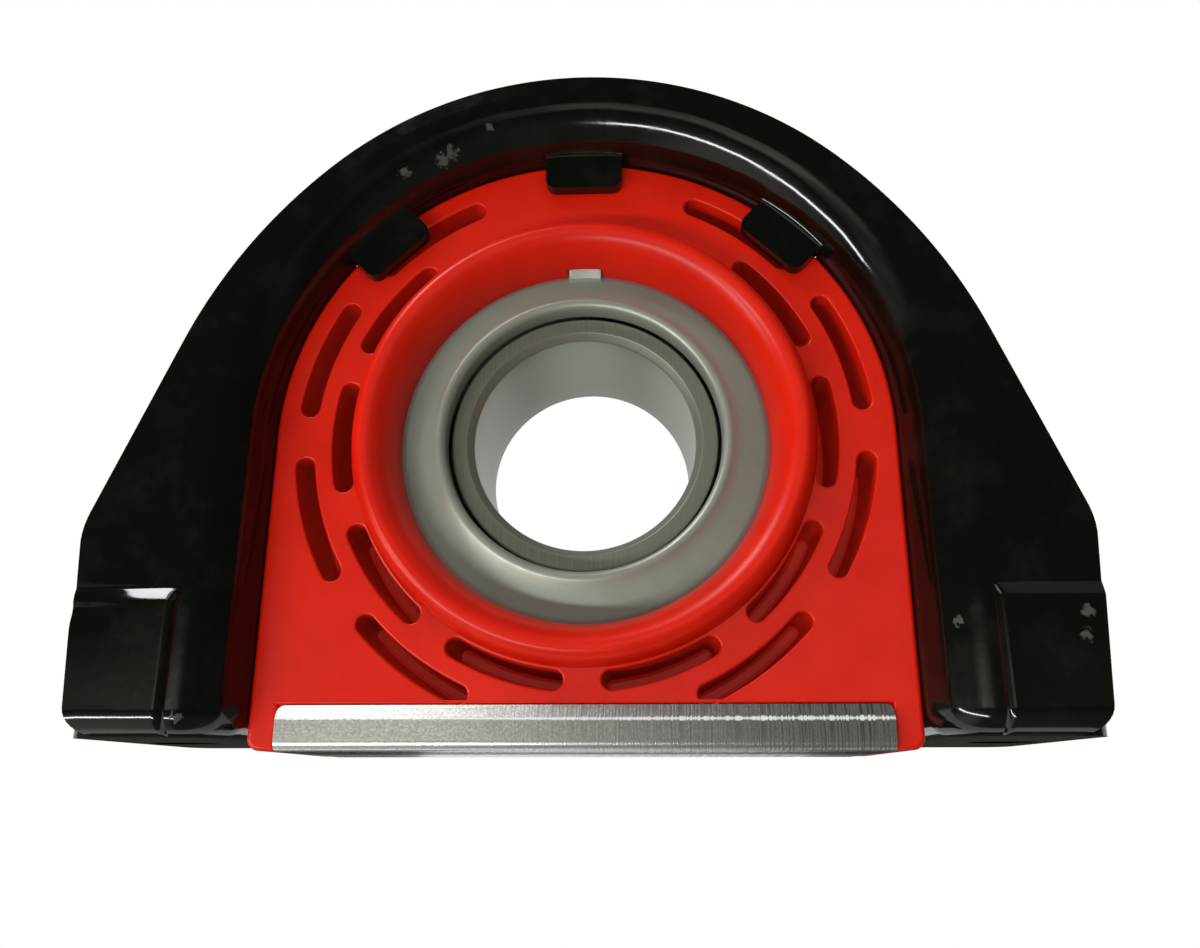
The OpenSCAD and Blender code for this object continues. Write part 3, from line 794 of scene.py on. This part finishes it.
bare = add(tree, RANGE, {"Value": worn.outputs[0], "From Min": 0.3, "From Max": 0.65}).outputs[0]
print(len(CHIPS), "chips in the enamel")

# %% Gloss black dipped enamel: colour and gloss
# A baked gloss film: IOR 1.5, roughness about 0.1 and nearly no colour of its own
film = add(tree, MIX, {0: dull, 6: linear("#0a0b07"), 7: linear("#14140f")}, data_type="RGBA")
skin = add(tree, MIX, {0: bare, 6: film.outputs[2], 7: linear("#484841")}, data_type="RGBA")
gloss = add(tree, RANGE, {"Value": dull, "To Min": 0.09, "To Max": 0.2})
rough = add(tree, MATH, {0: gloss.outputs[0], 1: bare}, operation="ADD", use_clamp=True)
slow = add(tree, NOISE, {"Vector": spot, "Scale": 1/(26*MM), "Detail": 1.0})
wave = add(tree, BUMP, {"Height": slow.outputs[0], "Strength": 0.5, "Distance": 0.9*MM})
peel = add(tree, NOISE, {"Vector": spot, "Scale": 1/(5*MM), "Detail": 2.0})
fine = add(tree, BUMP, {"Height": peel.outputs[0], "Strength": 0.12, "Distance": 0.25*MM,
                        "Normal": wave.outputs[0]})
fill(shader, {"IOR": 1.5, "Base Color": skin.outputs[2], "Roughness": rough.outputs[0],
              "Normal": fine.outputs[0]})
finish_with(enamel, bracket)

# %% [markdown]
# ## Red elastomer of the cushion
# The cushion is cast polyurethane, pigmented red all through. The mould was bead blasted, which leaves a fine
# even grain and a satin sheen. Cast colour is never quite even, so a slow noise shifts it between two close
# reds. Real grain is near 0.1 mm, which no pixel of the render can show, so it is drawn at 0.6 mm. In the
# photograph the steel beside the cushion stays a neutral grey, so the cushion throws no red light on it.

# %% Cast red polyurethane
elastomer, tree, shader, spot = material("cast red polyurethane with a blasted mould finish")
# Satin and dense: IOR 1.46 and roughness near 0.3 give a broad, pinkish highlight on the collar, and the
# grain breaks up part of it, so the specular level is 0.28
cloud = add(tree, NOISE, {"Vector": spot, "Scale": 1/(16*MM), "Detail": 3.0})
grain = add(tree, NOISE, {"Vector": spot, "Scale": 1/(0.6*MM), "Detail": 2.0})
even = add(tree, RANGE, {"Value": cloud.outputs[0], "From Min": 0.3, "From Max": 0.7}).outputs[0]
tone = add(tree, MIX, {0: even, 6: linear("#d51803"), 7: linear("#e11f05")}, data_type="RGBA")
satin = add(tree, RANGE, {"Value": grain.outputs[0], "To Min": 0.26, "To Max": 0.36})
bump = add(tree, BUMP, {"Height": grain.outputs[0], "Strength": 0.12, "Distance": 0.12*MM})
fill(shader, {"IOR": 1.46, "Specular IOR Level": 0.28, "Base Color": tone.outputs[2],
              "Roughness": satin.outputs[0], "Normal": bump.outputs[0]})
finish_with(elastomer, cushion)
cushion.visible_diffuse = False

# %% [markdown]
# ## Zinc plate on the strip
# The strip is cold-rolled steel with bright zinc plate. Rolling leaves fine lines along it and plating adds a
# grainy sparkle. The folding tool dragged short upright marks, most of them towards the right end, and a
# little dirt has stayed in them. The right end is also painted darker as shade, and a near-white line painted
# along the crease is a highlight. Lines and marks are noises that a Mapping node stretches along their own
# directions, and the painted highlight is a band about the crease, wider where the marks are.

# %% Bright zinc plate: lines, marks and the painted crease highlight
zinc, tree, shader, spot = material("bright zinc plate on rolled steel")
CREASE_Z = 7.6
rolled_at = add(tree, MAPPING, {"Vector": spot, "Scale": (1/(40*MM), 1/(0.7*MM), 1/(0.7*MM))})
rolled = add(tree, NOISE, {"Vector": rolled_at.outputs[0], "Scale": 1.0, "Detail": 3.0})
dragged_at = add(tree, MAPPING, {"Vector": spot, "Scale": (1/(0.5*MM), 1/(30*MM), 1/(30*MM))})
dragged = add(tree, NOISE, {"Vector": dragged_at.outputs[0], "Scale": 1.0, "Detail": 3.0})
sparkle = add(tree, NOISE, {"Vector": spot, "Scale": 1/(0.6*MM), "Detail": 2.0})
along = add(tree, SPLIT, {0: spot})
share = add(tree, RANGE, {"Value": along.outputs["X"], "From Min": -35*MM, "From Max": 55*MM})
marks = add(tree, RANGE, {"Value": dragged.outputs[0], "From Min": 0.42, "From Max": 0.62})
drag = add(tree, MATH, {0: marks.outputs[0], 1: share.outputs[0]}, operation="MULTIPLY")
lines = add(tree, MATH, {0: rolled.outputs[0], 1: sparkle.outputs[0]}, operation="MULTIPLY")
relief = add(tree, MATH, {0: lines.outputs[0], 1: drag.outputs[0]}, operation="SUBTRACT")
# Painted highlight: a near-white band along the crease stands in for the line of light it catches, fading in
# from the left
off = add(tree, MATH, {0: along.outputs["Z"], 1: CREASE_Z*MM}, operation="SUBTRACT")
near = add(tree, MATH, {0: off.outputs[0]}, operation="ABSOLUTE")
band = add(tree, RANGE, {"Value": drag.outputs[0], "To Min": 0.3*MM, "To Max": 0.8*MM})
depth = add(tree, MATH, {0: band.outputs[0], 1: near.outputs[0]}, operation="SUBTRACT")
edge = add(tree, RANGE, {"Value": depth.outputs[0], "From Min": -0.1*MM, "From Max": 0.25*MM})
reached = add(tree, RANGE, {"Value": along.outputs["X"], "From Min": -45*MM, "From Max": -15*MM})
painted_crease_highlight = add(tree, MATH, {0: edge.outputs[0], 1: reached.outputs[0]}, operation="MULTIPLY").outputs[0]
print("zinc patterns from", len(tree.nodes), "nodes")

# %% Bright zinc plate: colour and gloss
# Plated metal under a thin passivation film, so a little less than a full metal: metallic 0.8, and a
# roughness that the marks push between 0.2 and 0.5. The painted crease highlight is near white and nearly not
# metal
grains = add(tree, RANGE, {"Value": sparkle.outputs[0], "From Min": 0.35, "From Max": 0.65}).outputs[0]
plate = add(tree, MIX, {0: grains, 6: linear("#c6c7c2"), 7: linear("#e4e5e1")}, data_type="RGBA")
scored = add(tree, RANGE, {"Value": marks.outputs[0], "To Min": 0.55, "To Max": 1.0})
# Painted shade and dirt: the plate darkens towards the right end as painted shade, and a little more in the
# drag marks as dirt
painted_shade_and_dirt = add(tree, MATH, {0: scored.outputs[0], 1: share.outputs[0]}, operation="MULTIPLY").outputs[0]
worn = add(tree, MIX, {0: painted_shade_and_dirt, 6: plate.outputs[2], 7: linear("#5b5c57")}, data_type="RGBA")
# Painted highlight: on the crease band the colour turns near white and the metal nearly goes
tone = add(tree, MIX, {0: painted_crease_highlight, 6: worn.outputs[2], 7: linear("#f4f4f1")}, data_type="RGBA")
metal = add(tree, RANGE, {"Value": painted_crease_highlight, "To Min": 0.8, "To Max": 0.1})
rough = add(tree, RANGE, {"Value": relief.outputs[0], "From Min": -0.5, "From Max": 0.5,
                          "To Min": 0.5, "To Max": 0.22})
bump = add(tree, BUMP, {"Height": relief.outputs[0], "Strength": 0.22, "Distance": 0.15*MM})
fill(shader, {"Base Color": tone.outputs[2], "Metallic": metal.outputs[0],
              "Roughness": rough.outputs[0], "Normal": bump.outputs[0]})
finish_with(zinc, strip)

# %% [markdown]
# ## Pressed steel of the shields
# A shield is pressed from cold-rolled sheet and phosphated. The thin layer of phosphate crystals scatters
# light, so the steel is a soft olive grey instead of a mirror, with faint rings where the press tool turned
# the metal over. The tool has rubbed the crystals off the bead and the key. Rings, bead and key follow the
# distance from the bore axis: a Mapping node moves the origin to the axis and flattens y, and the length of
# that vector drives a noise in one dimension.

# %% Phosphated pressed steel
pressed, tree, shader, spot = material("phosphated satin pressed steel")
# The crystal layer hides most of the metal on the cone: metallic 0.12, roughness about 0.45 and the green
# tinge of zinc phosphate. The bead and the key are polished, so they are half metal and a neutral grey
flat_at = add(tree, MAPPING, {"Vector": spot, "Location": (0, 0, -CENTRE_H*MM), "Scale": (1, 0, 1)})
out = add(tree, VECTOR, {0: flat_at.outputs[0]}, operation="LENGTH").outputs["Value"]
rings = add(tree, NOISE, {"W": out, "Scale": 1/(0.9*MM), "Detail": 3.0}, noise_dimensions="1D")
mottle = add(tree, NOISE, {"Vector": spot, "Scale": 1/(7*MM), "Detail": 4.0, "Roughness": 0.6}).outputs[0]
grit = add(tree, NOISE, {"Vector": spot, "Scale": 1/(0.7*MM), "Detail": 2.0})
crystals = add(tree, MIX, {0: mottle, 6: linear("#8f9888"), 7: linear("#a0a999")}, data_type="RGBA")
rolled = add(tree, RANGE, {"Value": out, "From Min": 39.4*MM, "From Max": 42.5*MM})
key = add(tree, RANGE, {"Value": out, "From Min": 48.9*MM, "From Max": 48.2*MM})
cone = add(tree, MATH, {0: rolled.outputs[0], 1: key.outputs[0]}, operation="MULTIPLY").outputs[0]
tone = add(tree, MIX, {0: cone, 6: linear("#a3a497"), 7: crystals.outputs[2]}, data_type="RGBA")
metal = add(tree, RANGE, {"Value": cone, "To Min": 0.5, "To Max": 0.12})
rough = add(tree, RANGE, {"Value": mottle, "From Min": 0.3, "From Max": 0.7, "To Min": 0.36, "To Max": 0.48})
mixed = add(tree, MATH, {0: rings.outputs[0], 1: grit.outputs[0]}, operation="ADD")
bump = add(tree, BUMP, {"Height": mixed.outputs[0], "Strength": 0.18, "Distance": 0.08*MM})
fill(shader, {"Base Color": tone.outputs[2], "Metallic": metal.outputs[0],
              "Roughness": rough.outputs[0], "Normal": bump.outputs[0]})
finish_with(pressed, front_shield, rear_shield)

# %% [markdown]
# ## Ground steel of the rings
# The ring's ends were surface ground, so straight lines cross the face at a slant. Its bore and sleeve were
# ground in a turning machine, so lines there run round the axis. The normal tells the two apart: where it
# points along y the slanted lines show, and elsewhere the round ones. Real grinding lines are about 0.05 mm
# wide and are drawn ten times as wide, so that a few pixels can show them.

# %% Ground bearing steel
ground, tree, shader, spot = material("ground through-hardened bearing steel")
# Ground steel under a film of preserving oil: metallic 0.6, roughness about 0.4, darker and warmer than zinc
slant_at = add(tree, MAPPING, {"Vector": spot, "Rotation": (0, math.radians(38), 0),
                               "Scale": (1/(0.5*MM), 1, 1/(45*MM))})
slant = add(tree, NOISE, {"Vector": slant_at.outputs[0], "Scale": 1.0, "Detail": 3.0})
depth = add(tree, SPLIT, {0: spot})
turns = add(tree, NOISE, {"W": depth.outputs["Y"], "Scale": 1/(0.6*MM), "Detail": 3.0}, noise_dimensions="1D")
facing = add(tree, SPLIT, {0: add(tree, COORDS).outputs["Normal"]})
end = add(tree, MATH, {0: facing.outputs["Y"]}, operation="ABSOLUTE")
on_face = add(tree, RANGE, {"Value": end.outputs[0], "From Min": 0.8, "From Max": 0.95}).outputs[0]
soft = add(tree, RANGE, {"Value": turns.outputs[0], "To Min": 0.4, "To Max": 0.6})
lines = add(tree, MIX, {0: on_face, 2: soft.outputs[0], 3: slant.outputs[0]}, data_type="FLOAT").outputs[0]
tone = add(tree, MIX, {0: lines, 6: linear("#77786c"), 7: linear("#9a9c8d")}, data_type="RGBA")
rough = add(tree, RANGE, {"Value": lines, "From Min": 0.3, "From Max": 0.7, "To Min": 0.5, "To Max": 0.34})
bump = add(tree, BUMP, {"Height": lines, "Strength": 0.3, "Distance": 0.08*MM})
fill(shader, {"Metallic": 0.6, "Base Color": tone.outputs[2], "Roughness": rough.outputs[0],
              "Normal": bump.outputs[0]})
finish_with(ground, inner_ring, frame["nodes"]["outer_ring"])

# %% [markdown]
# ## Inside the bearing
# The balls, cage and seals hardly show, but they are there through the gap beside the ring. The balls are
# lapped to a mirror, the cage is stamped brass strip that has tarnished a little, and the seals are matt
# nitrile rubber over a steel insert. They keep their CAD shapes, which are right, and get their own finishes.
# The three are alike in build, one cloudy noise for tone and gloss, so a table and a loop make them.

# %% Lapped balls, brass cage and nitrile seals
# Lapped steel mirrors sharply, with a roughness about 0.1. Brass is warm, and dull at 0.5 where it has
# tarnished. Nitrile is nearly black and matt: IOR 1.52 and a roughness of 0.55 to 0.8.
# Columns: name, constants, size of the clouds in mm, detail, two colours, two roughnesses, CAD nodes
nodes = frame["nodes"]
balls = [name for name in nodes if name.startswith("ball_")]
INSIDE = [
    ("lapped chrome steel", {"Metallic": 1.0}, 4, 3.0, ("#c6c7c5", "#d6d6d3"), (0.06, 0.16), balls),
    ("stamped brass strip", {"Metallic": 1.0}, 5, 4.0, ("#9c7a38", "#cfae66"), (0.5, 0.25),
     ["cage_front", "cage_rear", "cage_rivets"]),
    ("matt moulded nitrile rubber", {"IOR": 1.52}, 3, 4.0, ("#1b1b1d", "#2c2c2e"), (0.55, 0.8),
     ["front_seal", "rear_seal"])]
for name, constants, size, detail, tones, gloss, users in INSIDE:
    made, tree, shader, spot = material(name)
    cloud = add(tree, NOISE, {"Vector": spot, "Scale": 1/(size*MM), "Detail": detail}).outputs[0]
    tone = add(tree, MIX, {0: cloud, 6: linear(tones[0]), 7: linear(tones[1])}, data_type="RGBA")
    rough = add(tree, RANGE, {"Value": cloud, "To Min": gloss[0], "To Max": gloss[1]})
    fill(shader, {**constants, "Base Color": tone.outputs[2], "Roughness": rough.outputs[0]})
    finish_with(made, *[nodes[user] for user in users])
finish_with(pressed, nodes["front_seal_insert"], nodes["rear_seal_insert"])

# %% [markdown]
# ## Floor
# The part stands on pale paper, which takes its shadow and fades out into the white background. The
# photograph was taken from just below that level, so the paper has to be clear from underneath as well:
# Geometry's Backfacing and the distance from the part both swap the shader for a transparent one. The paper
# throws no shadow, because one of the lamps stands lower than the part.

# %% Pale paper
FADE_START = 0.16
FADE_END = 0.55
bpy.ops.mesh.primitive_plane_add(size=4)
floor = bpy.context.object
floor.name = "pale_floor"
paper, tree, shader, spot = material("pale uncoated paper")
# Paper scatters light evenly: roughness 0.9 and a faint cloudiness of its fibres
fibre = add(tree, NOISE, {"Vector": spot, "Scale": 1/(6*MM), "Detail": 4.0}).outputs[0]
tone = add(tree, MIX, {0: fibre, 6: linear("#f0f0ee"), 7: linear("#f5f5f3")}, data_type="RGBA")
fill(shader, {"Base Color": tone.outputs[2], "Roughness": 0.9})
under = add(tree, "ShaderNodeNewGeometry").outputs["Backfacing"]
away = add(tree, VECTOR, {0: spot}, operation="LENGTH")
fade = add(tree, RANGE, {"Value": away.outputs["Value"], "From Min": FADE_START, "From Max": FADE_END},
           interpolation_type="SMOOTHSTEP")
gone = add(tree, MATH, {0: under, 1: fade.outputs[0]}, operation="MAXIMUM")
clear = add(tree, "ShaderNodeBsdfTransparent")
sides = add(tree, "ShaderNodeMixShader", {0: gone.outputs[0], 1: shader.outputs[0], 2: clear.outputs[0]})
fill(tree.nodes["Material Output"], {0: sides.outputs[0]})
for ray in ("shadow", "diffuse", "glossy"):
    setattr(floor, "visible_" + ray, False)
finish_with(paper, floor)

# %% [markdown]
# ## White background
# The background is plain white: the world is at strength 1 for the camera and for reflections, and dimmer for
# the light that it throws, so the part isn't washed out.

# %% White world
WORLD_LIGHT = 0.17
world = bpy.data.worlds.new("white studio")
scene.world = world
world.use_nodes = True
tree = world.node_tree
tree.nodes.clear()
path = add(tree, "ShaderNodeLightPath").outputs
mirror = add(tree, MATH, {0: path["Is Glossy Ray"], 1: path["Is Transmission Ray"]}, operation="MAXIMUM")
seen = add(tree, MATH, {0: path["Is Camera Ray"], 1: mirror.outputs[0]}, operation="MAXIMUM")
level = add(tree, RANGE, {"Value": seen.outputs[0], "To Min": WORLD_LIGHT, "To Max": 1.0})
back = add(tree, "ShaderNodeBackground", {"Color": (1, 1, 1, 1), "Strength": level.outputs[0]})
add(tree, "ShaderNodeOutputWorld", {0: back.outputs[0]})
print("world throws", WORLD_LIGHT, "of the light that it shows")

# %% [markdown]
# ## Dark cloth
# Gloss black only looks black when it mirrors something dark. A photographer hangs dark cloth on the
# camera's side for that, and so does this scene: a dome that only reflections can see, open to the white
# behind the part. Two low cloths stand behind the feet, so that the undersides of the pads stay dark while
# the bore still mirrors the white above them. On the left the dome has a warm, uneven glow at the height of
# the part, like a wall in a dim room, and a weaker one low down, like a bench. The zinc strip and the left
# foot pick them up.

# %% Dome and low cloths
# Sizes in m: the dome, and the low cloths from inner to outer x, at their y and from lowest to highest z
DOME_R = 1.8
LOW_X = (0.11, 0.5)
LOW_Y = 0.31
LOW_Z = (-0.6, 0.008)


def cloth_dome(radius):
    """Quads of a sphere of a radius in m about the part, rows from the lowest point up and columns round z,
    without those behind the part."""
    tilt = np.radians(np.linspace(-89.9, 89.9, 61))[:, None]
    turn = np.linspace(0, 2*math.pi, 97)[None, :]
    x, y = np.cos(tilt)*np.cos(turn), np.cos(tilt)*np.sin(turn)
    points, faces = grid(radius*np.stack([x, y, np.broadcast_to(np.sin(tilt), x.shape)], -1))
    return points, faces[points[faces].mean(1)[:, 1] < 0.05*radius]


points, faces = cloth_dome(DOME_R)
low = np.array([(x, LOW_Y, z) for x, z in zip(LOW_X + LOW_X[::-1], np.repeat(LOW_Z, 2))])
faces = np.vstack([faces, len(points) + np.arange(8).reshape(2, 4)])
points = np.vstack([points, low*MIRROR, low])
mesh = bpy.data.meshes.new("dark_cloth")
mesh.from_pydata(points.tolist(), [], faces.tolist())
cloth = bpy.data.objects.new("dark_cloth", mesh)
scene.collection.objects.link(cloth)
for ray in ("camera", "diffuse", "transmission", "volume_scatter", "shadow"):
    setattr(cloth, "visible_" + ray, False)
print("cloth of", len(faces), "quads")

# %% Felt that glows on the left
# Felt gives back a little light evenly, so it is a dim emission. Places are in m on the dome
felt = bpy.data.materials.new("dark studio felt")
felt.use_nodes = True
tree = felt.node_tree
tree.nodes.clear()
spot = add(tree, COORDS).outputs["Object"]
place = add(tree, SPLIT, {0: spot}).outputs
height = add(tree, MATH, {0: place["Z"]}, operation="ABSOLUTE")
low = add(tree, RANGE, {"Value": height.outputs[0], "From Min": 0.3, "From Max": 0.12})
left = add(tree, RANGE, {"Value": place["X"], "From Min": 0.2, "From Max": -0.35,
                         "To Min": 0.03, "To Max": 0.9})
far = add(tree, RANGE, {"Value": place["X"], "From Min": -0.9, "From Max": -0.62, "To Min": 0.22})
patch = add(tree, NOISE, {"Vector": spot, "Scale": 4.0, "Detail": 3.0})
blots = add(tree, RANGE, {"Value": patch.outputs[0], "From Min": 0.4, "From Max": 0.62, "To Min": 0.55})
near = add(tree, MATH, {0: far.outputs[0], 1: left.outputs[0]}, operation="MULTIPLY")
band = add(tree, MATH, {0: low.outputs[0], 1: near.outputs[0]}, operation="MULTIPLY")
wall = add(tree, MATH, {0: band.outputs[0], 1: blots.outputs[0]}, operation="MULTIPLY")
deep = add(tree, RANGE, {"Value": place["Z"], "From Min": -0.35, "From Max": -1.2})
aside = add(tree, RANGE, {"Value": place["X"], "From Min": -0.45, "From Max": -0.95,
                          "To Min": 0.06, "To Max": 0.45})
bench = add(tree, MATH, {0: deep.outputs[0], 1: aside.outputs[0]}, operation="MULTIPLY")
both = add(tree, MATH, {0: wall.outputs[0], 1: bench.outputs[0]}, operation="MAXIMUM")
front = add(tree, RANGE, {"Value": place["Y"], "From Min": 0.3, "From Max": 0.0})
glow = add(tree, MATH, {0: both.outputs[0], 1: front.outputs[0]}, operation="MULTIPLY").outputs[0]
tone = add(tree, MIX, {0: glow, 6: linear("#282924"), 7: linear("#efe9da")}, data_type="RGBA")
light = add(tree, "ShaderNodeEmission", {"Color": tone.outputs[2], "Strength": 1.7})
add(tree, "ShaderNodeOutputMaterial", {0: light.outputs[0]})
finish_with(felt, cloth)

# %% [markdown]
# ## Lamps
# The key light is a long tube lamp, low and to the left of the camera. Its mirror image is the thin white
# line on the bend of the bracket, and it was placed by mirroring the lines of sight there. A wide box high
# on the left lights the left half of the strip's lip, and a small skylight beside it shows in the step of
# the left foot. A window at the height of the part gives the pink glint on the collar. Light linking keeps
# it off the other pieces, where it would add a second line. Two large boxes on the right and overhead keep
# the shadows soft, and a bounce card near the camera lifts the upper part without a mirror image in the
# gloss.

# %% Tube and soft boxes
AIM = Vector((0, 0, 0.08))


def lamp(name, towards, along, distance, size, power):
    """An area lamp that looks at the middle of the part from a direction, with its long side along another.
    Distance and size are in m, and power is in W."""
    data = bpy.data.lights.new(name, "AREA")
    data.shape = "RECTANGLE"
    data.size, data.size_y = size
    data.energy = power
    made = bpy.data.objects.new(name, data)
    scene.collection.objects.link(made)
    z = towards.normalized()
    x = (along - along.dot(z)*z).normalized()
    turn = Matrix((x, z.cross(x), z)).transposed()
    made.location = AIM + z*distance
    made.rotation_mode = "QUATERNION"
    made.rotation_quaternion = turn.to_quaternion()
    made.visible_camera = False
    print(name, "radiance", round(power/(math.pi*size[0]*size[1]), 1))
    return made


tube_low, tube_left = direction(-8, -42), direction(-72, -10)
lamp("tube lamp", tube_low + tube_left, tube_left - tube_low, 1.0, (1.25, 0.068), 7.4)
lamp("left box", direction(-46, 52), direction(44, 0), 1.24, (1.1, 0.34), 2.6)
lamp("skylight", direction(-53, 50), direction(37, 0), 1.24, (0.42, 0.24), 4.4)
window = lamp("window", direction(-41, -6), direction(49, 0), 1.2, (0.2, 0.24), 2.8)
window.visible_diffuse = False
lit = bpy.data.collections.new("seen by the window")
lit.objects.link(cushion)
window.light_linking.receiver_collection = lit
lamp("right box", direction(66, 45), direction(-24, 0), 1.3, (1.0, 1.0), 0.6)
lamp("top box", direction(170, 72), direction(80, 0), 1.3, (1.0, 1.0), 5)
card = lamp("bounce card", direction(8, 2), direction(98, 0), 0.6, (0.5, 0.4), 0.85)
card.visible_glossy = False
